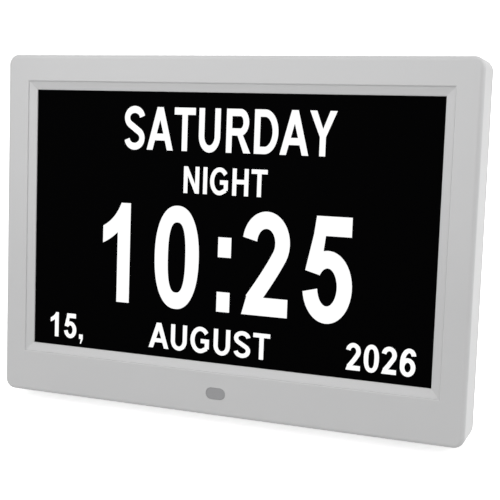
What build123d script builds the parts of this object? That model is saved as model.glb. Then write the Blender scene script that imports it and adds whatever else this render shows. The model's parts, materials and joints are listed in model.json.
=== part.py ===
from build123d import *
import math
import os

os.makedirs("parts", exist_ok=True)

# Case
case_width = 251.0
case_height = 180.5
case_depth = 25.0
corner_radius = 5.4
wall = 2.4
front_wall = 2.4
front_edge_radius = 2.2
lean_deg = 14.0
rest_clearance = 0.6

# Rear cover
cover_thickness = 2.6
cover_inset = 0.1
cover_edge_radius = 1.4
parting_gap = 0.8
cover_lip_height = 2.2
cover_lip_wall = 1.4
cover_lip_radius = 1.6
fit_gap = 0.2

# Screen opening and its sloped border
side_frame = 17.0
top_frame = 18.2
view_bottom = 26.7
border_width = 4.3
border_step = 0.8
border_edge_land = 0.1
lip_wall = 0.6
lip_edge_land = 0.2
seat_rise = 0.3
rim_tolerance = 0.01
seat_margin = 0.9
gasket_thickness = 0.4
gasket_inset = 0.6
gasket_width = 3.2

# Display module
module_side_margin = 6.25
module_top_margin = 4.5
module_bottom_margin = 9.0
cell_inset = 0.5
cell_thickness = 1.3
guide_thickness = 2.2
guide_gap = 0.15
tray_wall = 0.5
bracket_length = 16.0
bracket_width = 10.0
bracket_sheet = 0.8
bracket_boss_radius = 2.8
bracket_boss_inset = 3.8
bracket_spacing = 104.0

# Driver board under the panel
driver_inset = 16.75
driver_height = 13.0
driver_sheet = 0.8
driver_rise = 2.6
ribbon_u = 60.0
ribbon_width = 20.0
ribbon_sheet = 0.3
ribbon_bend = 5.0
socket_width = 23.0
socket_height = 4.4
socket_depth = 2.0

# Screws
screw_radius = 1.3
screw_head_radius = 2.7
screw_head_height = 1.0
screw_length = 10.0
small_screw_radius = 1.0
small_head_radius = 1.9
small_head_height = 1.2
small_screw_length = 4.0
thread_gap = 0.05
drive_length = 3.2
drive_width = 0.8
drive_depth = 0.6
boss_radius = 3.6
boss_inset = 8.5
boss_pitch = 90.0

# Main board
board_u = 62.0
board_top_gap = 14.5
board_width = 72.0
board_height = 94.0
board_sheet = 1.6
board_depth = 13.0
board_hole_inset = 4.5
board_boss_radius = 2.6

# Key row
key_count = 6
key_pitch = 12.0
key_drop = 14.0
key_length = 9.0
key_height = 6.0
key_proud = 0.8
key_edge = 0.5
key_gap = 0.25
key_flange = 1.2
key_flange_sheet = 0.9
key_flange_gap = 0.1
key_stem_radius = 1.5
key_travel = 0.4
switch_size = 6.2
switch_height = 3.4
switch_well = 2.6
plunger_radius = 1.6
plunger_gap = 0.15
plunger_top = 4.7
plunger_rest = 0.4
key_panel_margin = 3.4
key_panel_depth = 0.4

# Power jack
jack_u = 86.0
jack_rise = 12.0
jack_body = 9.2
jack_body_height = 7.2
jack_barrel_radius = 4.2
jack_recess = 0.4
jack_bore_radius = 2.85
jack_bore_depth = 8.6
jack_pin_radius = 1.0
jack_pin_setback = 1.0
jack_pin_edge = 0.5
jack_gap = 0.3
jack_dish_radius = 7.0
jack_dish_depth = 0.4

# Backup cell
cell_u = 48.0
cell_rise = 32.0
coin_radius = 10.0
coin_thickness = 3.2
holder_wall = 1.4
holder_floor = 0.8
holder_gap = 0.2

# Chips and capacitors on the board
chip_height = 1.4
processor_size = 14.0
processor_u = 68.0
memory_width = 9.0
memory_length = 12.0
memory_u = 50.0
flash_width = 8.0
flash_length = 6.0
flash_u = 84.0
chip_shift = 3.0
capacitor_radius = 2.5
capacitor_height = 5.4
capacitor_u = 72.0
capacitor_rise = 28.0
capacitor_count = 3
capacitor_pitch = 8.0
capacitor_edge = 0.5

# Wire sockets
wire_socket_width = 8.0
wire_socket_height = 5.0
wire_socket_depth = 3.4
wire_radius = 0.45
wire_pitch = 1.0
wire_bend = 8.0
route_parts = 3
ir_socket_u = 44.0
speaker_socket_u = 32.0
speaker_socket_lift = 15.5

# Speaker
speaker_u = -72.0
speaker_drop = 30.0
speaker_ring_outer = 20.0
speaker_ring_inner = 17.0
speaker_ring_height = 1.6
speaker_flange_radius = 19.4
speaker_flange_inner = 14.6
speaker_flange_sheet = 1.0
speaker_basket_radius = 10.2
speaker_basket_drop = 5.0
speaker_basket_sheet = 0.9
speaker_throat = 5.0
speaker_magnet_radius = 9.0
speaker_magnet_height = 4.0
speaker_cone_rim = 16.4
speaker_cone_neck = 4.6
speaker_cone_drop = 4.2
speaker_cone_sheet = 0.5
speaker_gasket_inner = 16.7
speaker_ear_offset = 22.4
speaker_ear_radius = 3.4
speaker_terminal_length = 5.0
speaker_terminal_width = 7.0
speaker_terminal_height = 4.2
speaker_terminal_inset = 1.7
speaker_slot_pitch = 4.6
speaker_slot_width = 2.0
speaker_slot_count = 7
speaker_slot_radius = 15.6

# Air vents
vent_u = -62.0
vent_drop = 33.5
vent_count = 13
vent_pitch = 5.0
vent_length = 13.0
vent_width = 2.2
vent_rows = 2
vent_row_pitch = 18.0

# Wall keyholes
keyhole_inset = 17.5
keyhole_drop = 54.5
keyhole_entry_radius = 4.5
keyhole_slot_width = 4.4
keyhole_slot_rise = 9.0
keyhole_cup_width = 14.0
keyhole_cup_margin = 2.4
keyhole_cup_depth = 4.8
keyhole_cup_wall = 1.4

# Infrared receiver
ir_v = 11.6
ir_width = 10.6
ir_height = 6.0
ir_gap = 0.1
ir_sink = 0.15
ir_flange = 1.6
ir_flange_sheet = 1.0
ir_board_width = 28.0
ir_board_height = 10.0
ir_board_sheet = 1.0
ir_board_depth = 8.4
ir_post_offset = 11.0
ir_post_radius = 2.2
ir_body_width = 6.4
ir_body_height = 7.0
ir_body_depth = 2.4
ir_dome_radius = 2.2
ir_socket_rise = 1.9

# Stand leg
leg_open_deg = 20.0
leg_pivot_drop = 63.0
leg_flush = 0.1
leg_width = 40.0
leg_thickness = 3.0
leg_tip_thickness = 1.9
leg_tip_length = 7.0
leg_tip_ramp = 3.0
leg_tip_radius = 2.0
leg_heel = 5.0
leg_extra = 4.0
leg_pocket_depth = 1.4
leg_pocket_rim = 3.2
leg_pocket_rib = 2.4
leg_pocket_top = 9.0
leg_pocket_bottom = 14.0
barrel_radius = 2.7
hinge_pin_radius = 1.2
hinge_gap = 0.05
hinge_seat_gap = 0.02
hinge_pin_setback = 0.3
hinge_pin_groove = 46.0
stop_gap = 0.05
recess_side_gap = 0.6
recess_floor_gap = 0.3
recess_end_gap = 0.8
recess_wall = 1.8
hinge_ear = 2.6
hinge_block_margin = 8.0
barrel_gap = 0.35
notch_height = 4.6
stand_pad_thickness = 1.2
stand_pad_inset = 6.0

# Rubber rest pads under the case
rest_pad_front = 15.0
rest_pad_back = 21.5
rest_pad_width = 18.0
rest_pad_offset = 92.0

# Worked out from the values above
lean = math.radians(lean_deg)
leg_open = math.radians(leg_open_deg)
lean_sin = math.sin(lean)
lean_cos = math.cos(lean)
view_width = case_width - 2 * side_frame
view_height = case_height - view_bottom - top_frame
module_width = view_width + 2 * module_side_margin
module_height = view_height + module_top_margin + module_bottom_margin
driver_width = module_width - 2 * driver_inset
face_z = rest_clearance + case_depth * lean_sin
near_y = front_edge_radius * (lean_cos + lean_sin - 1)
far_depth = case_depth - cover_edge_radius
far_v = case_height - cover_inset - cover_edge_radius
far_y = far_depth * lean_cos + far_v * lean_sin + cover_edge_radius
face_y = -(near_y + far_y) / 2
cover_inner = case_depth - cover_thickness
shell_depth = cover_inner - parting_gap
centre_v = case_height / 2
view_v = view_bottom + view_height / 2
module_top = view_bottom + view_height + module_top_margin
module_v = module_top - module_height / 2
lip_depth = front_wall + seat_rise
border_depth = lip_depth - lip_wall
border_edge_radius = border_step - border_edge_land
lip_edge_radius = lip_wall - lip_edge_land
cell_front = lip_depth + gasket_thickness
guide_front = cell_front + cell_thickness
tray_floor = guide_front + guide_thickness
tray_back = tray_floor + tray_wall
bracket_back = tray_back + bracket_sheet
driver_back = tray_back + driver_sheet
driver_v = module_v - module_height / 2 + driver_rise + driver_height / 2
board_back = board_depth + board_sheet
board_top = case_height - board_top_gap
board_bottom = board_top - board_height
board_v = (board_top + board_bottom) / 2
key_v = board_top - key_drop
jack_v = board_bottom + jack_rise
cell_v = board_bottom + cell_rise
capacitor_v = board_bottom + capacitor_rise
chip_v = (key_v + cell_v) / 2 + chip_shift
speaker_socket_v = board_bottom + board_hole_inset + speaker_socket_lift
speaker_v = speaker_socket_v - speaker_drop
vent_v = case_height - vent_drop
keyhole_spacing = case_width - 2 * keyhole_inset
keyhole_v = case_height - keyhole_drop
plunger_foot = switch_height - switch_well + key_travel + plunger_rest
leg_pivot_v = case_height - leg_pivot_drop
cavity_width = case_width - 2 * wall
cavity_height = case_height - 2 * wall
cavity_radius = corner_radius - wall
pivot_depth = case_depth - barrel_radius - leg_flush
pivot_z = face_z + leg_pivot_v * lean_cos - pivot_depth * lean_sin
leg_length = pivot_z / math.cos(leg_open - lean)
recess_half = leg_width / 2 + recess_side_gap
recess_floor = case_depth - leg_flush - leg_thickness - recess_floor_gap
over = case_depth

FACE = Plane(origin=(0, face_y, face_z), x_dir=(1, 0, 0), z_dir=(0, -lean_cos, lean_sin))
SIDE = Plane(origin=FACE.origin, x_dir=(0, lean_cos, -lean_sin), z_dir=(1, 0, 0))
back_dir = Vector(0, lean_cos, -lean_sin)
up_dir = Vector(0, lean_sin, lean_cos)
pivot = FACE.origin + back_dir * pivot_depth + up_dir * leg_pivot_v
leg_out = back_dir * math.cos(leg_open) + up_dir * math.sin(leg_open)
LEG_SIDE = Plane(origin=pivot, x_dir=leg_out, z_dir=(1, 0, 0))
LEG_FACE = Plane(origin=pivot, x_dir=(1, 0, 0), z_dir=-leg_out)


def layer(depth):
    """Plane parallel to the front face, this far behind it."""
    return FACE.offset(-depth)


def window_rim(part, half_width, depth):
    """The four edges of a window in the front whose corners lie at this half width and depth."""

    def at_corner(place):
        local = FACE.to_local_coords(place)
        return math.isclose(abs(local.X), half_width, abs_tol=rim_tolerance) and math.isclose(
            -local.Z, depth, abs_tol=rim_tolerance
        )

    return part.edges().filter_by(lambda edge: at_corner(edge @ 0) and at_corner(edge @ 1))


corner_u = case_width / 2 - boss_inset
top_boss_v = case_height - boss_inset
boss_points = [
    (-corner_u, boss_inset),
    (corner_u, boss_inset),
    (-corner_u, top_boss_v),
    (corner_u, top_boss_v),
    (-boss_pitch / 2, boss_inset),
    (boss_pitch / 2, boss_inset),
    (-boss_pitch / 2, top_boss_v),
    (boss_pitch / 2, top_boss_v),
]
bracket_u = cavity_width / 2 - bracket_boss_inset
bracket_points = [
    (-bracket_u, view_v - bracket_spacing / 2),
    (bracket_u, view_v - bracket_spacing / 2),
    (-bracket_u, view_v + bracket_spacing / 2),
    (bracket_u, view_v + bracket_spacing / 2),
]
board_du = board_width / 2 - board_hole_inset
board_dv = board_height / 2 - board_hole_inset
board_points = [
    (board_u - board_du, board_v - board_dv),
    (board_u + board_du, board_v - board_dv),
    (board_u - board_du, board_v + board_dv),
    (board_u + board_du, board_v + board_dv),
]
ir_points = [(-ir_post_offset, ir_v), (ir_post_offset, ir_v)]
speaker_ears = [(speaker_u - speaker_ear_offset, speaker_v), (speaker_u + speaker_ear_offset, speaker_v)]
key_points = [(board_u + (i - (key_count - 1) / 2) * key_pitch, key_v) for i in range(key_count)]
keyhole_points = [(-keyhole_spacing / 2, keyhole_v), (keyhole_spacing / 2, keyhole_v)]

# Front bezel with side walls
with BuildPart() as front_bezel:
    with BuildSketch(layer(0)):
        with Locations((0, centre_v)):
            RectangleRounded(case_width, case_height, corner_radius)
    extrude(amount=-shell_depth)
    front = front_bezel.faces().sort_by(Axis(FACE.origin, FACE.z_dir))[-1]
    fillet(front.edges(), radius=front_edge_radius)
    with BuildSketch(layer(front_wall)):
        with Locations((0, centre_v)):
            RectangleRounded(cavity_width, cavity_height, cavity_radius)
    extrude(amount=-shell_depth, mode=Mode.SUBTRACT)
    # thicker seat behind the sloped border
    with BuildSketch(layer(front_wall)):
        with Locations((0, view_v)):
            Rectangle(
                view_width + 2 * (border_width + seat_margin),
                view_height + 2 * (border_width + seat_margin),
            )
    extrude(amount=-seat_rise)
    # case screw bosses
    with BuildSketch(layer(front_wall)):
        with Locations(boss_points):
            Circle(boss_radius)
    extrude(amount=-(cover_inner - front_wall))
    with BuildSketch(layer(cover_inner)):
        with Locations(boss_points):
            Circle(screw_radius + thread_gap)
    extrude(amount=screw_length + screw_head_height, mode=Mode.SUBTRACT)
    # panel bracket bosses
    with BuildSketch(layer(front_wall)):
        with Locations(bracket_points):
            Circle(bracket_boss_radius)
    extrude(amount=-(tray_back - front_wall))
    with BuildSketch(layer(tray_back)):
        with Locations(bracket_points):
            Circle(small_screw_radius + thread_gap)
    extrude(amount=small_screw_length, mode=Mode.SUBTRACT)
    # infrared board posts
    with BuildSketch(layer(front_wall)):
        with Locations(ir_points):
            Circle(ir_post_radius)
    extrude(amount=-(ir_board_depth - front_wall))
    with BuildSketch(layer(ir_board_depth)):
        with Locations(ir_points):
            Circle(small_screw_radius + thread_gap)
    extrude(amount=small_screw_length, mode=Mode.SUBTRACT)
    # step, slope and opening of the screen border
    with BuildSketch(layer(0)):
        with Locations((0, view_v)):
            Rectangle(view_width + 2 * border_width, view_height + 2 * border_width)
    extrude(amount=-border_step, mode=Mode.SUBTRACT)
    fillet(window_rim(front_bezel, view_width / 2 + border_width, 0), radius=border_edge_radius)
    with BuildSketch(layer(border_step)):
        with Locations((0, view_v)):
            Rectangle(view_width + 2 * border_width, view_height + 2 * border_width)
    with BuildSketch(layer(border_depth)):
        with Locations((0, view_v)):
            Rectangle(view_width, view_height)
    loft(mode=Mode.SUBTRACT)
    with BuildSketch(layer(0)):
        with Locations((0, view_v)):
            Rectangle(view_width, view_height)
    extrude(amount=-shell_depth, mode=Mode.SUBTRACT)
    fillet(window_rim(front_bezel, view_width / 2, border_depth), radius=lip_edge_radius)
    # infrared window hole
    with BuildSketch(layer(0)):
        with Locations((0, ir_v)):
            SlotOverall(ir_width, ir_height)
    extrude(amount=-front_wall, mode=Mode.SUBTRACT)
front_bezel.part.label = "front_bezel"
export_step(front_bezel.part, "parts/front_bezel.step")

# Infrared window
with BuildPart() as ir_window:
    with BuildSketch(layer(ir_sink)):
        with Locations((0, ir_v)):
            SlotOverall(ir_width - 2 * ir_gap, ir_height - 2 * ir_gap)
    extrude(amount=-(front_wall - ir_sink))
    with BuildSketch(layer(front_wall)):
        with Locations((0, ir_v)):
            SlotOverall(ir_width + 2 * ir_flange, ir_height + 2 * ir_flange)
    extrude(amount=-ir_flange_sheet)
ir_window.part.label = "ir_window"
export_step(ir_window.part, "parts/ir_window.step")

# Foam gasket between the border and the panel
with BuildPart() as panel_gasket:
    with BuildSketch(layer(lip_depth)):
        with Locations((0, view_v)):
            Rectangle(
                view_width + 2 * (gasket_inset + gasket_width),
                view_height + 2 * (gasket_inset + gasket_width),
            )
            Rectangle(view_width + 2 * gasket_inset, view_height + 2 * gasket_inset, mode=Mode.SUBTRACT)
    extrude(amount=-gasket_thickness)
panel_gasket.part.label = "panel_gasket"
export_step(panel_gasket.part, "parts/panel_gasket.step")

# Liquid crystal cell
with BuildPart() as lcd_cell:
    with BuildSketch(layer(cell_front)):
        with Locations((0, module_v)):
            Rectangle(module_width - 2 * cell_inset, module_height - 2 * cell_inset)
    extrude(amount=-cell_thickness)
lcd_cell.part.label = "lcd_cell"
export_step(lcd_cell.part, "parts/lcd_cell.step")

# Light guide with its films
with BuildPart() as light_guide:
    with BuildSketch(layer(guide_front)):
        with Locations((0, module_v)):
            Rectangle(
                module_width - 2 * (tray_wall + guide_gap),
                module_height - 2 * (tray_wall + guide_gap),
            )
    extrude(amount=-guide_thickness)
light_guide.part.label = "light_guide"
export_step(light_guide.part, "parts/light_guide.step")

# Steel tray of the panel
with BuildPart() as panel_tray:
    with BuildSketch(layer(guide_front)):
        with Locations((0, module_v)):
            Rectangle(module_width, module_height)
    extrude(amount=-(tray_back - guide_front))
    with BuildSketch(layer(guide_front)):
        with Locations((0, module_v)):
            Rectangle(module_width - 2 * tray_wall, module_height - 2 * tray_wall)
    extrude(amount=-guide_thickness, mode=Mode.SUBTRACT)
panel_tray.part.label = "panel_tray"
export_step(panel_tray.part, "parts/panel_tray.step")

# Brackets that hold the panel down
bracket_shift = bracket_length / 2 - bracket_boss_inset
with BuildPart() as panel_brackets:
    for u, v in bracket_points:
        with BuildSketch(layer(tray_back)):
            with Locations((u - math.copysign(bracket_shift, u), v)):
                Rectangle(bracket_length, bracket_width)
            with Locations((u, v)):
                Circle(small_screw_radius + thread_gap, mode=Mode.SUBTRACT)
        extrude(amount=-bracket_sheet)
panel_brackets.part.label = "panel_brackets"
export_step(panel_brackets.part, "parts/panel_brackets.step")

# Screws of the brackets
with BuildPart() as bracket_screws:
    with BuildSketch(layer(bracket_back)):
        with Locations(bracket_points):
            Circle(small_head_radius)
    extrude(amount=-small_head_height)
    with BuildSketch(layer(bracket_back)):
        with Locations(bracket_points):
            Circle(small_screw_radius)
    extrude(amount=small_screw_length)
bracket_screws.part.label = "bracket_screws"
export_step(bracket_screws.part, "parts/bracket_screws.step")

# Driver board on the back of the tray
with BuildPart() as driver_board:
    with BuildSketch(layer(tray_back)):
        with Locations((0, driver_v)):
            Rectangle(driver_width, driver_height)
    extrude(amount=-driver_sheet)
driver_board.part.label = "driver_board"
export_step(driver_board.part, "parts/driver_board.step")

# Ribbon sockets on the driver board and the main board
driver_socket_v = driver_v + driver_height / 2 - socket_height / 2
board_socket_v = board_bottom + socket_height
driver_slot_depth = driver_back + socket_depth / 2
board_slot_depth = board_depth - socket_depth / 2
with BuildPart() as driver_socket:
    with BuildSketch(layer(driver_back)):
        with Locations((ribbon_u, driver_socket_v)):
            Rectangle(socket_width, socket_height)
    extrude(amount=-socket_depth)
driver_socket.part.label = "driver_socket"
export_step(driver_socket.part, "parts/driver_socket.step")

with BuildPart() as ribbon_socket:
    with BuildSketch(layer(board_depth)):
        with Locations((ribbon_u, board_socket_v)):
            Rectangle(socket_width, socket_height)
    extrude(amount=socket_depth)
ribbon_socket.part.label = "ribbon_socket"
export_step(ribbon_socket.part, "parts/ribbon_socket.step")

# Flat ribbon between the two sockets
ribbon_start = driver_socket_v + socket_height / 2
ribbon_end = board_socket_v - socket_height / 2
ribbon_run = (ribbon_end - ribbon_start) / route_parts
with BuildPart() as panel_ribbon:
    with BuildSketch(SIDE.offset(ribbon_u)):
        with BuildLine():
            FilletPolyline(
                (driver_slot_depth, ribbon_start),
                (driver_slot_depth, ribbon_start + ribbon_run),
                (board_slot_depth, ribbon_end - ribbon_run),
                (board_slot_depth, ribbon_end),
                radius=ribbon_bend,
            )
        trace(line_width=ribbon_sheet)
    extrude(amount=ribbon_width / 2, both=True)
panel_ribbon.part.label = "panel_ribbon"
export_step(panel_ribbon.part, "parts/panel_ribbon.step")

# Main board
with BuildPart() as main_board:
    with BuildSketch(layer(board_depth)):
        with Locations((board_u, board_v)):
            Rectangle(board_width, board_height)
        with Locations(board_points):
            Circle(small_screw_radius + fit_gap, mode=Mode.SUBTRACT)
    extrude(amount=-board_sheet)
main_board.part.label = "main_board"
export_step(main_board.part, "parts/main_board.step")

# Screws of the main board, into the cover's bosses
with BuildPart() as board_screws:
    with BuildSketch(layer(board_depth)):
        with Locations(board_points):
            Circle(small_head_radius)
    extrude(amount=small_head_height)
    with BuildSketch(layer(board_depth)):
        with Locations(board_points):
            Circle(small_screw_radius)
    extrude(amount=-(board_sheet + small_screw_length))
board_screws.part.label = "board_screws"
export_step(board_screws.part, "parts/board_screws.step")

# Chips on the back of the board
with BuildPart() as board_chips:
    with BuildSketch(layer(board_back)):
        with Locations((processor_u, chip_v)):
            Rectangle(processor_size, processor_size)
        with Locations((memory_u, chip_v)):
            Rectangle(memory_width, memory_length)
        with Locations((flash_u, chip_v)):
            Rectangle(flash_width, flash_length)
    extrude(amount=-chip_height)
board_chips.part.label = "board_chips"
export_step(board_chips.part, "parts/board_chips.step")

# Capacitors near the jack
with BuildPart() as board_capacitors:
    with BuildSketch(layer(board_back)):
        with Locations((capacitor_u, capacitor_v)):
            with GridLocations(0, capacitor_pitch, 1, capacitor_count):
                Circle(capacitor_radius)
    extrude(amount=-capacitor_height)
    chamfer(
        board_capacitors.faces().group_by(Axis(FACE.origin, FACE.z_dir))[0].edges(),
        length=capacitor_edge,
    )
board_capacitors.part.label = "board_capacitors"
export_step(board_capacitors.part, "parts/board_capacitors.step")

# Wire sockets: infrared board, main board front, main board back
ir_board_back = ir_board_depth + ir_board_sheet
ir_socket_v = ir_v + ir_socket_rise
board_wire_v = board_bottom + wire_socket_height
ir_wire_depth = ir_board_back + wire_socket_depth / 2
speaker_wire_depth = board_back + wire_socket_depth / 2
with BuildPart() as wire_sockets:
    with BuildSketch(layer(ir_board_back)):
        with Locations((0, ir_socket_v)):
            Rectangle(wire_socket_width, wire_socket_height)
    extrude(amount=-wire_socket_depth)
    with BuildSketch(layer(board_depth)):
        with Locations((ir_socket_u, board_wire_v)):
            Rectangle(wire_socket_width, wire_socket_height)
    extrude(amount=wire_socket_depth)
    with BuildSketch(layer(board_back)):
        with Locations((speaker_socket_u, speaker_socket_v)):
            Rectangle(wire_socket_height, wire_socket_width)
    extrude(amount=-wire_socket_depth)
wire_sockets.part.label = "wire_sockets"
export_step(wire_sockets.part, "parts/wire_sockets.step")

# Power jack and its centre pin
jack_back = case_depth - jack_recess
with BuildPart() as dc_jack:
    with BuildSketch(layer(board_back)):
        with Locations((jack_u, jack_v)):
            Rectangle(jack_body, jack_body)
    extrude(amount=-jack_body_height)
    with BuildSketch(layer(board_back)):
        with Locations((jack_u, jack_v)):
            Circle(jack_barrel_radius)
    extrude(amount=-(jack_back - board_back))
    with BuildSketch(layer(jack_back)):
        with Locations((jack_u, jack_v)):
            Circle(jack_bore_radius)
    extrude(amount=jack_bore_depth, mode=Mode.SUBTRACT)
dc_jack.part.label = "dc_jack"
export_step(dc_jack.part, "parts/dc_jack.step")

with BuildPart() as dc_pin:
    with BuildSketch(layer(jack_back - jack_bore_depth)):
        with Locations((jack_u, jack_v)):
            Circle(jack_pin_radius)
    extrude(amount=-(jack_bore_depth - jack_pin_setback))
    tip = dc_pin.faces().sort_by(Axis(FACE.origin, FACE.z_dir))[0]
    fillet(tip.edges(), radius=jack_pin_edge)
dc_pin.part.label = "dc_pin"
export_step(dc_pin.part, "parts/dc_pin.step")

# Backup cell and its holder
holder_radius = coin_radius + holder_gap + holder_wall
with BuildPart() as cell_holder:
    with BuildSketch(layer(board_back)):
        with Locations((cell_u, cell_v)):
            Circle(holder_radius)
    extrude(amount=-(holder_floor + coin_thickness))
    with BuildSketch(layer(board_back + holder_floor)):
        with Locations((cell_u, cell_v)):
            Circle(coin_radius + holder_gap)
    extrude(amount=-over, mode=Mode.SUBTRACT)
cell_holder.part.label = "cell_holder"
export_step(cell_holder.part, "parts/cell_holder.step")

with BuildPart() as coin_cell:
    with BuildSketch(layer(board_back + holder_floor)):
        with Locations((cell_u, cell_v)):
            Circle(coin_radius)
    extrude(amount=-coin_thickness)
    chamfer(
        coin_cell.faces().sort_by(Axis(FACE.origin, FACE.z_dir))[0].edges(),
        length=holder_gap,
    )
coin_cell.part.label = "coin_cell"
export_step(coin_cell.part, "parts/coin_cell.step")

# Key switch housings on the board
switch_back = board_back + switch_height
with BuildPart() as key_switches:
    with BuildSketch(layer(board_back)):
        with Locations(key_points):
            Rectangle(switch_size, switch_size)
    extrude(amount=-switch_height)
    with BuildSketch(layer(switch_back)):
        with Locations(key_points):
            Circle(plunger_radius + plunger_gap)
    extrude(amount=switch_well, mode=Mode.SUBTRACT)
key_switches.part.label = "key_switches"
export_step(key_switches.part, "parts/key_switches.step")

# Push buttons and the switch plungers under them
plunger_back = board_back + plunger_top
flange_back = cover_inner - key_flange_gap
flange_front = flange_back - key_flange_sheet
key_back = case_depth + key_proud
key_names = ["power", "menu", "up", "down", "left", "right"]
for key_name, key_point in zip(key_names, key_points):
    with BuildPart() as button:
        with BuildSketch(layer(plunger_back)):
            with Locations(key_point):
                Circle(key_stem_radius)
        extrude(amount=-(flange_front - plunger_back))
        with BuildSketch(layer(flange_front)):
            with Locations(key_point):
                SlotOverall(key_length + 2 * key_flange, key_height + 2 * key_flange)
        extrude(amount=-key_flange_sheet)
        with BuildSketch(layer(flange_back)):
            with Locations(key_point):
                SlotOverall(key_length, key_height)
        extrude(amount=-(key_back - flange_back))
        cap = button.faces().sort_by(Axis(FACE.origin, FACE.z_dir))[0]
        fillet(cap.edges(), radius=key_edge)
    button.part.label = "button_" + key_name
    export_step(button.part, "parts/button_" + key_name + ".step")
    with BuildPart() as plunger:
        with BuildSketch(layer(board_back + plunger_foot)):
            with Locations(key_point):
                Circle(plunger_radius)
        extrude(amount=-(plunger_top - plunger_foot))
    plunger.part.label = "plunger_" + key_name
    export_step(plunger.part, "parts/plunger_" + key_name + ".step")

# Speaker
speaker_seat = cover_inner - speaker_ring_height
speaker_flange_back = speaker_seat - gasket_thickness
speaker_flange_front = speaker_flange_back - speaker_flange_sheet
basket_front = speaker_flange_front - speaker_basket_drop
speaker_side = SIDE.offset(speaker_u)
speaker_origin = speaker_side.from_local_coords(Vector(0, speaker_v, 0))
speaker_axis = Axis(speaker_origin, back_dir)
with BuildPart() as speaker_frame:
    with BuildSketch(speaker_side):
        with Locations((0, speaker_v)):
            Polygon(
                (speaker_flange_back, speaker_flange_inner),
                (speaker_flange_back, speaker_flange_radius),
                (speaker_flange_front, speaker_flange_radius),
                (speaker_flange_front, speaker_flange_inner + speaker_basket_sheet),
                (basket_front, speaker_basket_radius),
                (basket_front, speaker_throat),
                (basket_front + speaker_basket_sheet, speaker_throat),
                (basket_front + speaker_basket_sheet, speaker_basket_radius - speaker_basket_sheet),
                align=None,
            )
    revolve(axis=speaker_axis)
    with BuildSketch(layer(speaker_flange_back)):
        for ear_u, ear_v in speaker_ears:
            with Locations((ear_u, ear_v)):
                Circle(speaker_ear_radius)
            with Locations((ear_u - math.copysign(speaker_ear_radius, ear_u - speaker_u), ear_v)):
                Rectangle(2 * speaker_ear_radius, 2 * speaker_ear_radius)
        with Locations(speaker_ears):
            Circle(small_screw_radius + fit_gap, mode=Mode.SUBTRACT)
    extrude(amount=speaker_flange_sheet)
    with BuildSketch(layer(speaker_flange_front)):
        with Locations((speaker_u, speaker_v + speaker_flange_radius - speaker_terminal_inset)):
            Rectangle(speaker_terminal_width, speaker_terminal_length)
    extrude(amount=speaker_terminal_height)
speaker_frame.part.label = "speaker_frame"
export_step(speaker_frame.part, "parts/speaker_frame.step")

with BuildPart() as speaker_magnet:
    with BuildSketch(layer(basket_front)):
        with Locations((speaker_u, speaker_v)):
            Circle(speaker_magnet_radius)
    extrude(amount=speaker_magnet_height)
speaker_magnet.part.label = "speaker_magnet"
export_step(speaker_magnet.part, "parts/speaker_magnet.step")

cone_back = speaker_flange_back + gasket_thickness
cone_neck_depth = speaker_flange_back - speaker_cone_drop
with BuildPart() as speaker_cone:
    with BuildSketch(speaker_side):
        with Locations((0, speaker_v)):
            Polygon(
                (speaker_flange_back, speaker_cone_rim),
                (cone_back, speaker_cone_rim),
                (cone_back, speaker_flange_inner - speaker_cone_sheet),
                (cone_neck_depth + speaker_cone_sheet, speaker_cone_neck),
                (cone_back - speaker_cone_sheet, 0),
                (cone_back - 2 * speaker_cone_sheet, 0),
                (cone_neck_depth, speaker_cone_neck),
                (speaker_flange_back, speaker_flange_inner - speaker_cone_sheet),
                align=None,
            )
    revolve(axis=speaker_axis)
speaker_cone.part.label = "speaker_cone"
export_step(speaker_cone.part, "parts/speaker_cone.step")

with BuildPart() as speaker_gasket:
    with BuildSketch(layer(speaker_flange_back)):
        with Locations((speaker_u, speaker_v)):
            Circle(speaker_flange_radius)
            Circle(speaker_gasket_inner, mode=Mode.SUBTRACT)
    extrude(amount=-gasket_thickness)
speaker_gasket.part.label = "speaker_gasket"
export_step(speaker_gasket.part, "parts/speaker_gasket.step")

with BuildPart() as speaker_screws:
    with BuildSketch(layer(speaker_flange_front)):
        with Locations(speaker_ears):
            Circle(small_head_radius)
    extrude(amount=small_head_height)
    with BuildSketch(layer(speaker_flange_front)):
        with Locations(speaker_ears):
            Circle(small_screw_radius)
    extrude(amount=-small_screw_length)
speaker_screws.part.label = "speaker_screws"
export_step(speaker_screws.part, "parts/speaker_screws.step")

# Infrared receiver on its board
with BuildPart() as ir_board:
    with BuildSketch(layer(ir_board_depth)):
        with Locations((0, ir_v)):
            Rectangle(ir_board_width, ir_board_height)
        with Locations(ir_points):
            Circle(small_screw_radius + fit_gap, mode=Mode.SUBTRACT)
    extrude(amount=-ir_board_sheet)
ir_board.part.label = "ir_board"
export_step(ir_board.part, "parts/ir_board.step")

with BuildPart() as ir_receiver:
    with BuildSketch(layer(ir_board_depth)):
        with Locations((0, ir_v)):
            Rectangle(ir_body_width, ir_body_height)
    extrude(amount=ir_body_depth)
    with Locations(layer(ir_board_depth - ir_body_depth).location * Pos(0, ir_v, 0)):
        Sphere(ir_dome_radius)
ir_receiver.part.label = "ir_receiver"
export_step(ir_receiver.part, "parts/ir_receiver.step")

with BuildPart() as ir_screws:
    with BuildSketch(layer(ir_board_back)):
        with Locations(ir_points):
            Circle(small_head_radius)
    extrude(amount=-small_head_height)
    with BuildSketch(layer(ir_board_back)):
        with Locations(ir_points):
            Circle(small_screw_radius)
    extrude(amount=small_screw_length)
ir_screws.part.label = "ir_screws"
export_step(ir_screws.part, "parts/ir_screws.step")

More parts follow.
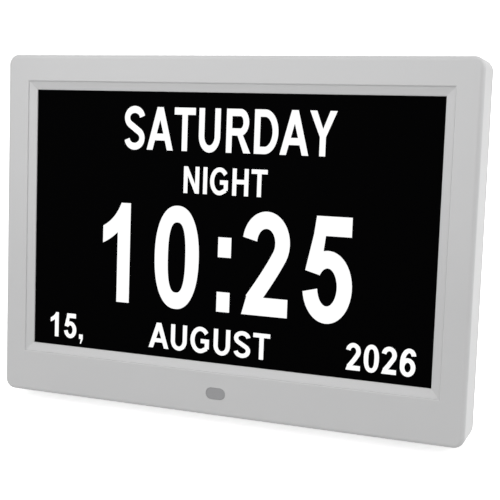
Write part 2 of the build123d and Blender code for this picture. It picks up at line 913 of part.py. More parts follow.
# Wires, stacked one behind the other
ir_wire_start = ir_socket_v + wire_socket_height / 2
ir_wire_end = board_wire_v - wire_socket_height / 2
ir_wire_run = (ir_wire_end - ir_wire_start) / route_parts
with BuildPart() as ir_cable:
    for step in (-1, 0, 1):
        wire_layer = layer(ir_wire_depth + step * wire_pitch)
        with BuildLine(wire_layer) as ir_route:
            FilletPolyline(
                (0, ir_wire_start),
                (0, ir_wire_start + ir_wire_run),
                (ir_socket_u, ir_wire_end - ir_wire_run),
                (ir_socket_u, ir_wire_end),
                radius=wire_bend,
            )
        with BuildSketch(Plane(ir_route.line @ 0, z_dir=ir_route.line % 0)):
            Circle(wire_radius)
        sweep(path=ir_route.line)
ir_cable.part.label = "ir_cable"
export_step(ir_cable.part, "parts/ir_cable.step")

speaker_wire_start = speaker_u + speaker_terminal_width / 2
speaker_wire_v = speaker_v + speaker_flange_radius
speaker_wire_end = speaker_socket_u - wire_socket_height / 2
speaker_wire_run = (speaker_wire_end - speaker_wire_start) / route_parts
with BuildPart() as speaker_cable:
    for step in (-1, 1):
        wire_layer = layer(speaker_wire_depth + step * wire_pitch / 2)
        with BuildLine(wire_layer) as speaker_route:
            FilletPolyline(
                (speaker_wire_start, speaker_wire_v),
                (speaker_wire_start + speaker_wire_run, speaker_wire_v),
                (speaker_wire_end - speaker_wire_run, speaker_socket_v),
                (speaker_wire_end, speaker_socket_v),
                radius=wire_bend,
            )
        with BuildSketch(Plane(speaker_route.line @ 0, z_dir=speaker_route.line % 0)):
            Circle(wire_radius)
        sweep(path=speaker_route.line)
speaker_cable.part.label = "speaker_cable"
export_step(speaker_cable.part, "parts/speaker_cable.step")

# Rear cover
tray_front = recess_floor - recess_wall
hinge_block_front = pivot_depth - barrel_radius - barrel_gap - recess_wall
hinge_block_v = leg_pivot_v + leg_heel + recess_end_gap + recess_wall
heel_v = leg_pivot_v + leg_heel + recess_end_gap
cup_height = 2 * keyhole_entry_radius + keyhole_slot_rise + keyhole_cup_margin
with BuildPart() as rear_cover:
    with BuildSketch(layer(cover_inner)):
        with Locations((0, centre_v)):
            RectangleRounded(case_width - 2 * cover_inset, case_height - 2 * cover_inset, corner_radius)
    extrude(amount=-cover_thickness)
    rear = rear_cover.faces().sort_by(Axis(FACE.origin, FACE.z_dir))[0]
    fillet(rear.edges(), radius=cover_edge_radius)
    # locating lip inside the side walls
    with BuildSketch(layer(cover_inner)):
        with Locations((0, centre_v)):
            RectangleRounded(cavity_width - 2 * fit_gap, cavity_height - 2 * fit_gap, cavity_radius)
            RectangleRounded(
                cavity_width - 2 * (fit_gap + cover_lip_wall),
                cavity_height - 2 * (fit_gap + cover_lip_wall),
                cover_lip_radius,
                mode=Mode.SUBTRACT,
            )
    extrude(amount=cover_lip_height)
    # tray for the folded leg and block for its hinge
    tray_bottom = notch_height - recess_wall
    with BuildSketch(layer(cover_inner)):
        with Locations((0, (tray_bottom + leg_pivot_v) / 2)):
            Rectangle(2 * (recess_half + recess_wall), leg_pivot_v - tray_bottom)
    extrude(amount=cover_inner - tray_front)
    with BuildSketch(layer(cover_inner)):
        with Locations((0, (leg_pivot_v - hinge_block_margin + hinge_block_v) / 2)):
            Rectangle(2 * (recess_half + hinge_ear), hinge_block_v - leg_pivot_v + hinge_block_margin)
    extrude(amount=cover_inner - hinge_block_front)
    # main board bosses
    with BuildSketch(layer(cover_inner)):
        with Locations(board_points):
            Circle(board_boss_radius)
    extrude(amount=cover_inner - board_back)
    with BuildSketch(layer(board_back)):
        with Locations(board_points):
            Circle(small_screw_radius + thread_gap)
    extrude(amount=-small_screw_length, mode=Mode.SUBTRACT)
    # speaker ring and ear bosses
    with BuildSketch(layer(cover_inner)):
        with Locations((speaker_u, speaker_v)):
            Circle(speaker_ring_outer)
            Circle(speaker_ring_inner, mode=Mode.SUBTRACT)
    extrude(amount=speaker_ring_height)
    with BuildSketch(layer(cover_inner)):
        with Locations(speaker_ears):
            Circle(board_boss_radius)
    extrude(amount=cover_inner - speaker_flange_back)
    with BuildSketch(layer(speaker_flange_back)):
        with Locations(speaker_ears):
            Circle(small_screw_radius + thread_gap)
    extrude(amount=-(small_screw_length - speaker_flange_sheet), mode=Mode.SUBTRACT)
    # cups behind the wall keyholes
    with BuildSketch(layer(cover_inner)):
        with Locations([(u, v + keyhole_slot_rise / 2) for u, v in keyhole_points]):
            Rectangle(keyhole_cup_width + 2 * keyhole_cup_wall, cup_height + 2 * keyhole_cup_wall)
    extrude(amount=keyhole_cup_depth + keyhole_cup_wall)
    with BuildSketch(layer(cover_inner)):
        with Locations([(u, v + keyhole_slot_rise / 2) for u, v in keyhole_points]):
            Rectangle(keyhole_cup_width, cup_height)
    extrude(amount=keyhole_cup_depth, mode=Mode.SUBTRACT)
    with BuildSketch(layer(case_depth)):
        with Locations(keyhole_points):
            Circle(keyhole_entry_radius)
        with Locations([(u, v + keyhole_slot_rise / 2) for u, v in keyhole_points]):
            SlotCenterToCenter(keyhole_slot_rise, keyhole_slot_width, rotation=90)
    extrude(amount=cover_thickness, mode=Mode.SUBTRACT)
    # leg recess, notch at its end, and room for the hinge barrel and heel
    with BuildSketch(SIDE):
        with Locations((recess_floor, notch_height)):
            Rectangle(over, leg_pivot_v - notch_height, align=(Align.MIN, Align.MIN))
        with Locations((cover_inner, -over)):
            Rectangle(over, over + notch_height, align=(Align.MIN, Align.MIN))
        with Locations((recess_floor, leg_pivot_v)):
            Rectangle(over, heel_v - leg_pivot_v, align=(Align.MIN, Align.MIN))
        with Locations((pivot_depth, leg_pivot_v)):
            Circle(barrel_radius + barrel_gap)
    extrude(amount=recess_half, both=True, mode=Mode.SUBTRACT)
    with BuildSketch(LEG_SIDE):
        with Locations((barrel_radius - leg_thickness - stop_gap, 0)):
            Rectangle(leg_thickness, leg_heel + recess_end_gap / 2, align=(Align.MIN, Align.MIN))
    extrude(amount=recess_half, both=True, mode=Mode.SUBTRACT)
    with BuildSketch(SIDE):
        with Locations((pivot_depth, leg_pivot_v)):
            Circle(hinge_pin_radius + hinge_seat_gap)
    extrude(amount=recess_half + hinge_ear + hinge_pin_groove, both=True, mode=Mode.SUBTRACT)
    # button holes
    with BuildSketch(layer(case_depth)):
        with Locations(key_points):
            SlotOverall(key_length + 2 * key_gap, key_height + 2 * key_gap)
    extrude(amount=cover_thickness, mode=Mode.SUBTRACT)
    with BuildSketch(layer(case_depth)):
        with Locations((board_u, key_v)):
            SlotOverall(
                (key_count - 1) * key_pitch + key_length + 2 * key_panel_margin,
                key_height + 2 * key_panel_margin,
            )
    extrude(amount=key_panel_depth, mode=Mode.SUBTRACT)
    # jack hole in a shallow dish
    with BuildSketch(layer(case_depth)):
        with Locations((jack_u, jack_v)):
            Circle(jack_dish_radius)
    extrude(amount=jack_dish_depth, mode=Mode.SUBTRACT)
    with BuildSketch(layer(case_depth)):
        with Locations((jack_u, jack_v)):
            Circle(jack_barrel_radius + jack_gap)
    extrude(amount=cover_thickness, mode=Mode.SUBTRACT)
    # case screw holes with sunk heads
    with BuildSketch(layer(case_depth)):
        with Locations(boss_points):
            Circle(screw_radius + fit_gap)
    extrude(amount=cover_thickness, mode=Mode.SUBTRACT)
    with BuildSketch(layer(case_depth)):
        with Locations(boss_points):
            Circle(screw_head_radius + fit_gap)
    extrude(amount=screw_head_height + fit_gap, mode=Mode.SUBTRACT)
    # air vents
    with BuildSketch(layer(case_depth)):
        with Locations((vent_u, vent_v)):
            with GridLocations(vent_pitch, vent_row_pitch, vent_count, vent_rows):
                SlotOverall(vent_length, vent_width, rotation=90)
    extrude(amount=cover_thickness, mode=Mode.SUBTRACT)
    # speaker slots, cut to a round outline
    with BuildSketch(layer(case_depth)):
        for i in range(speaker_slot_count):
            slot_rise = (i - (speaker_slot_count - 1) / 2) * speaker_slot_pitch
            slot_half = math.sqrt(speaker_slot_radius**2 - slot_rise**2)
            with Locations((speaker_u, speaker_v + slot_rise)):
                SlotOverall(2 * slot_half, speaker_slot_width)
    extrude(amount=cover_thickness, mode=Mode.SUBTRACT)
rear_cover.part.label = "rear_cover"
export_step(rear_cover.part, "parts/rear_cover.step")

# Case screws with cross slots
head_front = case_depth - screw_head_height - fit_gap
head_back = head_front + screw_head_height
with BuildPart() as case_screws:
    with BuildSketch(layer(head_front)):
        with Locations(boss_points):
            Circle(screw_head_radius)
    extrude(amount=-screw_head_height)
    with BuildSketch(layer(head_front)):
        with Locations(boss_points):
            Circle(screw_radius)
    extrude(amount=screw_length)
    with BuildSketch(layer(head_back)):
        with Locations(boss_points):
            Rectangle(drive_length, drive_width)
            Rectangle(drive_width, drive_length)
    extrude(amount=drive_depth, mode=Mode.SUBTRACT)
case_screws.part.label = "case_screws"
export_step(case_screws.part, "parts/case_screws.step")

# Stand leg, drawn open against its stop
leg_front = barrel_radius - leg_thickness
tip_front = barrel_radius - leg_tip_thickness
pocket_height = leg_length - leg_pocket_top - leg_pocket_bottom
pocket_width = (leg_width - 2 * leg_pocket_rim - leg_pocket_rib) / 2
pocket_v = -(leg_pocket_top + pocket_height / 2)
with BuildPart() as stand_leg:
    with BuildSketch(LEG_SIDE):
        Polygon(
            (barrel_radius, leg_heel),
            (leg_front, leg_heel),
            (leg_front, -(leg_length - leg_tip_length - leg_tip_ramp)),
            (tip_front, -(leg_length - leg_tip_length)),
            (tip_front, -(leg_length + leg_extra)),
            (barrel_radius, -(leg_length + leg_extra)),
            align=None,
        )
        Circle(barrel_radius)
    extrude(amount=leg_width / 2, both=True)
    # weight-saving pockets on the side that faces the case
    with BuildSketch(LEG_FACE.offset(-leg_front)):
        with Locations((0, pocket_v)):
            with GridLocations(pocket_width + leg_pocket_rib, 0, 2, 1):
                RectangleRounded(pocket_width, pocket_height, leg_pocket_rib)
    extrude(amount=-leg_pocket_depth, mode=Mode.SUBTRACT)
    with BuildSketch(LEG_SIDE):
        Circle(hinge_pin_radius + hinge_gap)
    extrude(amount=leg_width, both=True, mode=Mode.SUBTRACT)
    split(bisect_by=Plane.XY.offset(stand_pad_thickness), keep=Keep.TOP)
    tip_edges = stand_leg.edges().filter_by(lambda e: e.length < leg_tip_thickness + fit_gap)
    fillet(tip_edges.group_by(Axis.Z)[0], radius=leg_tip_radius)
stand_leg.part.label = "stand_leg"
export_step(stand_leg.part, "parts/stand_leg.step")

# Rubber strip on the tip of the leg
with BuildPart() as stand_pad:
    with BuildSketch(LEG_SIDE):
        with Locations((tip_front, -(leg_length + leg_extra))):
            Rectangle(leg_tip_thickness, 2 * leg_extra, align=(Align.MIN, Align.MIN))
    extrude(amount=leg_width / 2 - stand_pad_inset, both=True)
    split(bisect_by=Plane.XY.offset(stand_pad_thickness), keep=Keep.BOTTOM)
    split(bisect_by=Plane.XY, keep=Keep.TOP)
stand_pad.part.label = "stand_pad"
export_step(stand_pad.part, "parts/stand_pad.step")

# Hinge pin
with BuildPart() as hinge_pin:
    with BuildSketch(LEG_SIDE):
        Circle(hinge_pin_radius)
    extrude(amount=recess_half + hinge_ear - hinge_pin_setback, both=True)
hinge_pin.part.label = "hinge_pin"
export_step(hinge_pin.part, "parts/hinge_pin.step")

# Rubber wedges the case rests on
with BuildPart() as rest_pads:
    for side in (-1, 1):
        with BuildSketch(SIDE.offset(side * rest_pad_offset)):
            with Locations((rest_pad_front, 0)):
                Rectangle(rest_pad_back - rest_pad_front, case_depth, align=(Align.MIN, Align.MAX))
        extrude(amount=rest_pad_width / 2, both=True)
    split(bisect_by=Plane.XY, keep=Keep.TOP)
rest_pads.part.label = "rest_pads"
export_step(rest_pads.part, "parts/rest_pads.step")
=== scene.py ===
"""Looks of a leaning digital day clock: its finishes, its lit display and a plain studio."""

import json
import logging
import math
from dataclasses import dataclass
from enum import Enum
from typing import Any, Callable

import bpy
import numpy as np
from mathutils import Matrix, Vector
from mathutils.geometry import delaunay_2d_cdt


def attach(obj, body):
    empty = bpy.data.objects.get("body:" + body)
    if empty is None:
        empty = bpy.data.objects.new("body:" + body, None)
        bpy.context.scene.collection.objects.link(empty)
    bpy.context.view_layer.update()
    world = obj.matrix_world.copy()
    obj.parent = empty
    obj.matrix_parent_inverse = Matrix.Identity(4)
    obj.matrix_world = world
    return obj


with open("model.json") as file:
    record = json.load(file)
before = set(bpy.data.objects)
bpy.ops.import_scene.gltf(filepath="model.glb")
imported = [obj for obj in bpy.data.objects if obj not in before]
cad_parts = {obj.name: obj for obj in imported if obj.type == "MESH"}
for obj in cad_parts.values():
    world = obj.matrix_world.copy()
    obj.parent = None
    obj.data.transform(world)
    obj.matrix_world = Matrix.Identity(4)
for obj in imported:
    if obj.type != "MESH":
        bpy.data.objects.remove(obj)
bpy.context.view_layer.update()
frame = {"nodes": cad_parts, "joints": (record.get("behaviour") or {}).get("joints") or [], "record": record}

LOG = logging.getLogger("day_clock")
MM = 0.001
ALL_TRIANGLES = 0
WELD_MM = 0.001
RIGHT = np.array([1.0, 0.0, 0.0])
WHITE = (1.0, 1.0, 1.0, 1.0)
Colour = tuple[float, float, float]
Place = tuple[float, float, float]
Spot = tuple[float, float]


def node_points(node: str) -> np.ndarray:
    """Corner points of a CAD node.

    Args:
        node: name of the CAD node.

    Returns:
        An (n, 3) array of points in metres.
    """
    vertices = frame["nodes"][node].data.vertices
    flat = np.empty(len(vertices) * 3, np.float32)
    vertices.foreach_get("co", flat)
    return flat.reshape(-1, 3).astype(float)


@dataclass(frozen=True)
class FaceFrame:
    """Axes of the leaning clock face, in millimetres: u to the right, v up the face, d into the case."""

    origin: np.ndarray
    up: np.ndarray
    back: np.ndarray

    @classmethod
    def of_clock(cls) -> "FaceFrame":
        """Reads the lean from the keys' travel and the origin from the front bezel.

        Returns:
            The frame whose origin is the middle of the bezel's lower front edge.
        """
        travel = next(joint["axis"] for joint in frame["joints"] if joint["type"] == "slide")
        back = -np.array(travel)
        up = np.cross(RIGHT, back)
        points = node_points("front_bezel") / MM
        return cls(up * (points @ up).min() + back * (points @ back).min(), up, back)

    def place(self, u: np.ndarray, v: np.ndarray, d: np.ndarray | float) -> np.ndarray:
        """Point = origin + u right + v up + d back.

        Args:
            u: places to the right of the middle.
            v: places above the lower edge.
            d: depths behind the front face.

        Returns:
            An (n, 3) array of points in metres.
        """
        steps = np.multiply.outer(u, RIGHT) + np.multiply.outer(v, self.up)
        return (self.origin + steps + np.multiply.outer(np.broadcast_to(d, np.shape(u)), self.back)) * MM

    def depths(self, node: str) -> tuple[float, float]:
        """Least and greatest depth of a CAD node behind the front face."""
        depth = node_points(node) / MM @ self.back - self.origin @ self.back
        return float(depth.min()), float(depth.max())


class Net:
    """Adds and links nodes in one shader tree."""

    def __init__(self, tree: bpy.types.NodeTree) -> None:
        """Starts on an emptied tree."""
        self.tree = tree
        tree.nodes.clear()

    def add(
        self, kind: str, inputs: dict[str | int, Any] | None = None, **settings: Any
    ) -> bpy.types.Node:
        """Adds a node.

        Args:
            kind: the node's type without its ShaderNode prefix, or a full type name.
            inputs: socket name or number to a value or to another node's output.
            settings: properties of the node itself.

        Returns:
            The new node.
        """
        known = kind if kind.startswith("NodeGroup") else "ShaderNode" + kind
        node = self.tree.nodes.new(known)
        for name, value in settings.items():
            setattr(node, name, value)
        for key, value in (inputs or {}).items():
            if isinstance(value, bpy.types.NodeSocket):
                self.tree.links.new(value, node.inputs[key])
            else:
                node.inputs[key].default_value = value
        return node

    def maths(self, operation: str, first: Any, second: Any) -> bpy.types.NodeSocket:
        """One sum of two values or sockets, as the socket that holds its result."""
        return self.add("Math", {0: first, 1: second}, operation=operation).outputs[0]


def new_group(name: str, takes: dict[str, str], gives: dict[str, str]) -> tuple[Net, Any, Any]:
    """Starts a shader node group.

    Args:
        name: the group's name.
        takes: input names to socket kinds.
        gives: output names to socket kinds.

    Returns:
        The group's net, the outputs of its input node and the inputs of its output node.
    """
    tree = bpy.data.node_groups.new(name, "ShaderNodeTree")
    for label, kind in takes.items():
        tree.interface.new_socket(label, in_out="INPUT", socket_type="NodeSocket" + kind)
    for label, kind in gives.items():
        tree.interface.new_socket(label, in_out="OUTPUT", socket_type="NodeSocket" + kind)
    net = Net(tree)
    return net, net.add("NodeGroupInput").outputs, net.add("NodeGroupOutput").inputs


class Texture(Enum):
    """The shared surface effects that a finish can use."""

    MOULDED = "moulded_grain"
    DRAWN = "drawn_metal"
    CIRCUIT = "circuit_tracks"
    FIBRE = "pressed_fibre"


EFFECT_TAKES = {"Vector": "Vector", "Tint": "Color", "Second": "Color", "Grain": "Float",
                "Mottle": "Float", "Gloss": "Float", "Spread": "Float"}
EFFECT_GIVES = {"Color": "Color", "Roughness": "Float", "Height": "Float"}


class Effects:
    """Builds each shared surface effect once, as a node group."""

    middle = 0.5
    cloud_scale = 38.0
    cloud_detail = 3.0
    grain_detail = 2.0
    line_detail = 3.0
    line_stretch = (1.0, 26.0, 26.0)
    track_width = 0.09
    fibre_detail = 4.0
    fibre_stretch = (1.0, 0.22, 1.0)

    def __init__(self) -> None:
        """Builds all the groups."""
        self.groups: dict[Texture, bpy.types.NodeTree] = {}
        builders: dict[Texture, Callable[[Net, Any, Any], None]] = {
            Texture.MOULDED: self.moulded,
            Texture.DRAWN: self.drawn,
            Texture.CIRCUIT: self.circuit,
            Texture.FIBRE: self.fibre,
        }
        for texture, build in builders.items():
            net, given, wanted = new_group(texture.value, EFFECT_TAKES, EFFECT_GIVES)
            build(net, given, wanted)
            self.groups[texture] = net.tree

    def noise(self, net: Net, vector: Any, scale: Any, detail: float) -> Any:
        """Fractal noise about one half, as a socket."""
        return net.add("TexNoise", {"Vector": vector, "Scale": scale, "Detail": detail}).outputs["Fac"]

    def cloud(self, net: Net, given: Any) -> Any:
        """The slow change over a surface, about one half, as a socket."""
        return self.noise(net, given["Vector"], self.cloud_scale, self.cloud_detail)

    def shade(self, net: Net, given: Any, wanted: Any, fine: Any, cloud: Any) -> None:
        """Tint times (1 + mottle times cloud and grain), and roughness = gloss + spread times cloud.

        Args:
            net: the group's net.
            given: the group's inputs.
            wanted: the group's outputs.
            fine: the grain, about one half.
            cloud: the slow change over the surface, about one half.
        """
        change = net.maths("SUBTRACT", cloud, self.middle)
        mixed = net.maths("ADD", net.maths("SUBTRACT", fine, self.middle), change)
        gain = net.maths("ADD", net.maths("MULTIPLY", mixed, given["Mottle"]), 1.0)
        tinted = net.add("VectorMath", {0: given["Tint"], "Scale": gain}, operation="SCALE")
        drift = net.maths("MULTIPLY", change, given["Spread"])
        net.tree.links.new(tinted.outputs[0], wanted["Color"])
        net.tree.links.new(net.maths("ADD", given["Gloss"], drift), wanted["Roughness"])

    def moulded(self, net: Net, given: Any, wanted: Any) -> None:
        """Spark-eroded grain: pits between rounded grains, over a slow cloud left by handling."""
        fine = self.noise(net, given["Vector"], given["Grain"], self.grain_detail)
        cells = {"Vector": given["Vector"], "Scale": given["Grain"]}
        pits = net.add("TexVoronoi", cells, feature="SMOOTH_F1")
        cloud = self.cloud(net, given)
        self.shade(net, given, wanted, fine, cloud)
        net.tree.links.new(net.maths("SUBTRACT", fine, pits.outputs["Distance"]), wanted["Height"])

    def drawn(self, net: Net, given: Any, wanted: Any) -> None:
        """Rolled or drawn metal: noise stretched into fine lines along u."""
        long = net.add("VectorMath", {0: given["Vector"], 1: self.line_stretch}, operation="MULTIPLY")
        fine = self.noise(net, long.outputs[0], given["Grain"], self.line_detail)
        cloud = self.cloud(net, given)
        self.shade(net, given, wanted, fine, cloud)
        net.tree.links.new(fine, wanted["Height"])

    def circuit(self, net: Net, given: Any, wanted: Any) -> None:
        """Copper tracks under solder mask, on the edges of square cells.

        An edge is where the distances to the nearest two points differ by less than the track's width.

        Args:
            net: the group's net.
            given: the group's inputs.
            wanted: the group's outputs.
        """
        cells = {"Vector": given["Vector"], "Scale": given["Grain"]}
        first = net.add("TexVoronoi", cells, feature="F1", distance="CHEBYCHEV").outputs["Distance"]
        second = net.add("TexVoronoi", cells, feature="F2", distance="CHEBYCHEV").outputs["Distance"]
        track = net.maths("LESS_THAN", net.maths("SUBTRACT", second, first), self.track_width)
        cloud = self.cloud(net, given)
        colours = {"Factor": track, "A": given["Tint"], "B": given["Second"]}
        blend = net.add("Mix", colours, data_type="RGBA")
        gain = net.maths("ADD", net.maths("MULTIPLY", cloud, given["Mottle"]), 1.0)
        tinted = net.add("VectorMath", {0: blend.outputs["Result"], "Scale": gain}, operation="SCALE")
        drift = net.maths("MULTIPLY", track, given["Spread"])
        net.tree.links.new(tinted.outputs[0], wanted["Color"])
        net.tree.links.new(net.maths("ADD", given["Gloss"], drift), wanted["Roughness"])
        net.tree.links.new(track, wanted["Height"])

    def fibre(self, net: Net, given: Any, wanted: Any) -> None:
        """Pressed paper or foam: short fibres, noise drawn out one way over open cells."""
        drawn = net.add("VectorMath", {0: given["Vector"], 1: self.fibre_stretch}, operation="MULTIPLY")
        fine = self.noise(net, drawn.outputs[0], given["Grain"], self.fibre_detail)
        cells = net.add("TexVoronoi", {"Vector": given["Vector"], "Scale": given["Grain"]})
        self.shade(net, given, wanted, fine, cells.outputs["Distance"])
        net.tree.links.new(net.maths("ADD", fine, cells.outputs["Distance"]), wanted["Height"])


@dataclass(frozen=True)
class Finish:
    """How one material slot looks: linear colours, grains in a metre, relief in millimetres."""

    slot: str
    texture: Texture
    tint: Colour
    gloss: float
    grain: float
    relief: float
    mottle: float = 0.04
    spread: float = 0.08
    second: Colour = (0.5, 0.5, 0.5)
    metallic: float = 0.0
    specular: float = 0.5
    bump: float = 0.35

    def build(self, effects: Effects) -> bpy.types.Material:
        """Makes the material.

        Args:
            effects: the shared node groups.

        Returns:
            A material named for the slot.
        """
        material = bpy.data.materials.new(self.slot)
        material.use_nodes = True
        net = Net(material.node_tree)
        place = net.add("TexCoord").outputs["Object"]
        effect = net.add("Group", node_tree=effects.groups[self.texture])
        net.tree.links.new(place, effect.inputs["Vector"])
        values = {"Tint": (*self.tint, 1.0), "Second": (*self.second, 1.0), "Grain": self.grain,
                  "Mottle": self.mottle, "Gloss": self.gloss, "Spread": self.spread}
        for name, value in values.items():
            effect.inputs[name].default_value = value
        bump = net.add("Bump", {"Height": effect.outputs["Height"], "Strength": self.bump,
                                "Distance": self.relief * MM})
        shader = net.add("BsdfPrincipled", {
            "Base Color": effect.outputs["Color"], "Roughness": effect.outputs["Roughness"],
            "Normal": bump.outputs["Normal"], "Metallic": self.metallic,
            "Specular IOR Level": self.specular})
        net.add("OutputMaterial", {"Surface": shader.outputs[0]})
        return material


FINISHES = (
    Finish("bezel_plastic", Texture.MOULDED, (0.560, 0.560, 0.563), 0.30, 5200.0, 0.006, specular=0.75),
    Finish("cover_plastic", Texture.MOULDED, (0.440, 0.440, 0.446), 0.50, 4200.0, 0.020, specular=0.35),
    Finish("key_plastic", Texture.MOULDED, (0.560, 0.560, 0.565), 0.42, 5200.0, 0.010),
    Finish("leg_plastic", Texture.MOULDED, (0.440, 0.440, 0.446), 0.50, 4200.0, 0.018, specular=0.35),
    Finish("window_tint", Texture.MOULDED, (0.315, 0.315, 0.322), 0.16, 3000.0, 0.002, spread=0.03),
    Finish("lcd_glass", Texture.MOULDED, (0.0006, 0.0006, 0.0007), 0.48, 4000.0, 0.002, specular=0.006),
    Finish("foam_black", Texture.FIBRE, (0.012, 0.012, 0.013), 0.9, 2600.0, 0.05, mottle=0.3),
    Finish("guide_acrylic", Texture.MOULDED, (0.82, 0.83, 0.84), 0.2, 900.0, 0.004, spread=0.04),
    Finish("tray_steel", Texture.DRAWN, (0.56, 0.57, 0.58), 0.32, 700.0, 0.004, metallic=1.0),
    Finish("screw_steel", Texture.DRAWN, (0.42, 0.42, 0.43), 0.30, 1800.0, 0.004, metallic=1.0),
    Finish("board_green", Texture.CIRCUIT, (0.012, 0.105, 0.042), 0.34, 330.0, 0.02,
           second=(0.05, 0.22, 0.09)),
    Finish("socket_ivory", Texture.MOULDED, (0.68, 0.63, 0.52), 0.42, 3000.0, 0.01),
    Finish("ribbon_film", Texture.DRAWN, (0.78, 0.78, 0.76), 0.34, 420.0, 0.01, mottle=0.2),
    Finish("chip_black", Texture.MOULDED, (0.018, 0.018, 0.019), 0.55, 6000.0, 0.01, mottle=0.2),
    Finish("can_aluminium", Texture.DRAWN, (0.70, 0.71, 0.72), 0.28, 900.0, 0.004, metallic=1.0),
    Finish("jack_black", Texture.MOULDED, (0.020, 0.020, 0.021), 0.38, 4200.0, 0.008, mottle=0.15),
    Finish("pin_nickel", Texture.DRAWN, (0.66, 0.64, 0.60), 0.20, 2400.0, 0.002, metallic=1.0),
    Finish("cell_steel", Texture.DRAWN, (0.62, 0.62, 0.61), 0.24, 1100.0, 0.003, metallic=1.0),
    Finish("holder_black", Texture.MOULDED, (0.022, 0.022, 0.024), 0.46, 4200.0, 0.01, mottle=0.15),
    Finish("switch_black", Texture.MOULDED, (0.026, 0.026, 0.027), 0.44, 4200.0, 0.01, mottle=0.15),
    Finish("plunger_grey", Texture.MOULDED, (0.16, 0.16, 0.17), 0.40, 4200.0, 0.01),
    Finish("frame_black", Texture.MOULDED, (0.024, 0.024, 0.026), 0.50, 4200.0, 0.015, mottle=0.15),
    Finish("magnet_ferrite", Texture.MOULDED, (0.050, 0.050, 0.054), 0.58, 2600.0, 0.02, mottle=0.3),
    Finish("cone_paper", Texture.FIBRE, (0.030, 0.028, 0.027), 0.85, 1500.0, 0.06, mottle=0.4),
    Finish("wire_jacket", Texture.MOULDED, (0.45, 0.05, 0.04), 0.36, 2600.0, 0.006),
    Finish("pad_rubber", Texture.MOULDED, (0.030, 0.030, 0.032), 0.78, 2600.0, 0.03, mottle=0.2,
           specular=0.25),
)


@dataclass(frozen=True)
class LitInk:
    """White picture elements of the display, lit from behind a little unevenly."""

    name: str = "lit_ink"
    unevenness: float = 0.05
    patch_scale: float = 14.0
    strength: float = 1.0
    body: Colour = (0.02, 0.02, 0.02)
    gloss: float = 0.5
    specular: float = 0.02

    def build(self, effects: Effects) -> bpy.types.Material:
        """Makes the material.

        Args:
            effects: the shared node groups.

        Returns:
            A material that gives light.
        """
        material = bpy.data.materials.new(self.name)
        material.use_nodes = True
        net = Net(material.node_tree)
        place = net.add("TexCoord").outputs["Object"]
        effect = net.add("Group", node_tree=effects.groups[Texture.MOULDED])
        net.tree.links.new(place, effect.inputs["Vector"])
        values = {"Tint": WHITE, "Grain": self.patch_scale, "Mottle": self.unevenness}
        for name, value in values.items():
            effect.inputs[name].default_value = value
        shader = net.add("BsdfPrincipled", {
            "Base Color": (*self.body, 1.0), "Roughness": self.gloss, "Specular IOR Level": self.specular,
            "Emission Color": effect.outputs["Color"], "Emission Strength": self.strength})
        net.add("OutputMaterial", {"Surface": shader.outputs[0]})
        return material


@dataclass(frozen=True)
class Strip:
    """A flat stroke: the ruled surface between two rails with as many points each."""

    left: np.ndarray
    right: np.ndarray

    def moved(self, shift: float) -> "Strip":
        """The strip moved along the line of writing."""
        step = np.array([shift, 0.0])
        return Strip(self.left + step, self.right + step)


@dataclass(frozen=True)
class Glyph:
    """A sign drawn with strips, in units of the capital height."""

    strips: tuple[Strip, ...]
    bearing: float
    advance: float


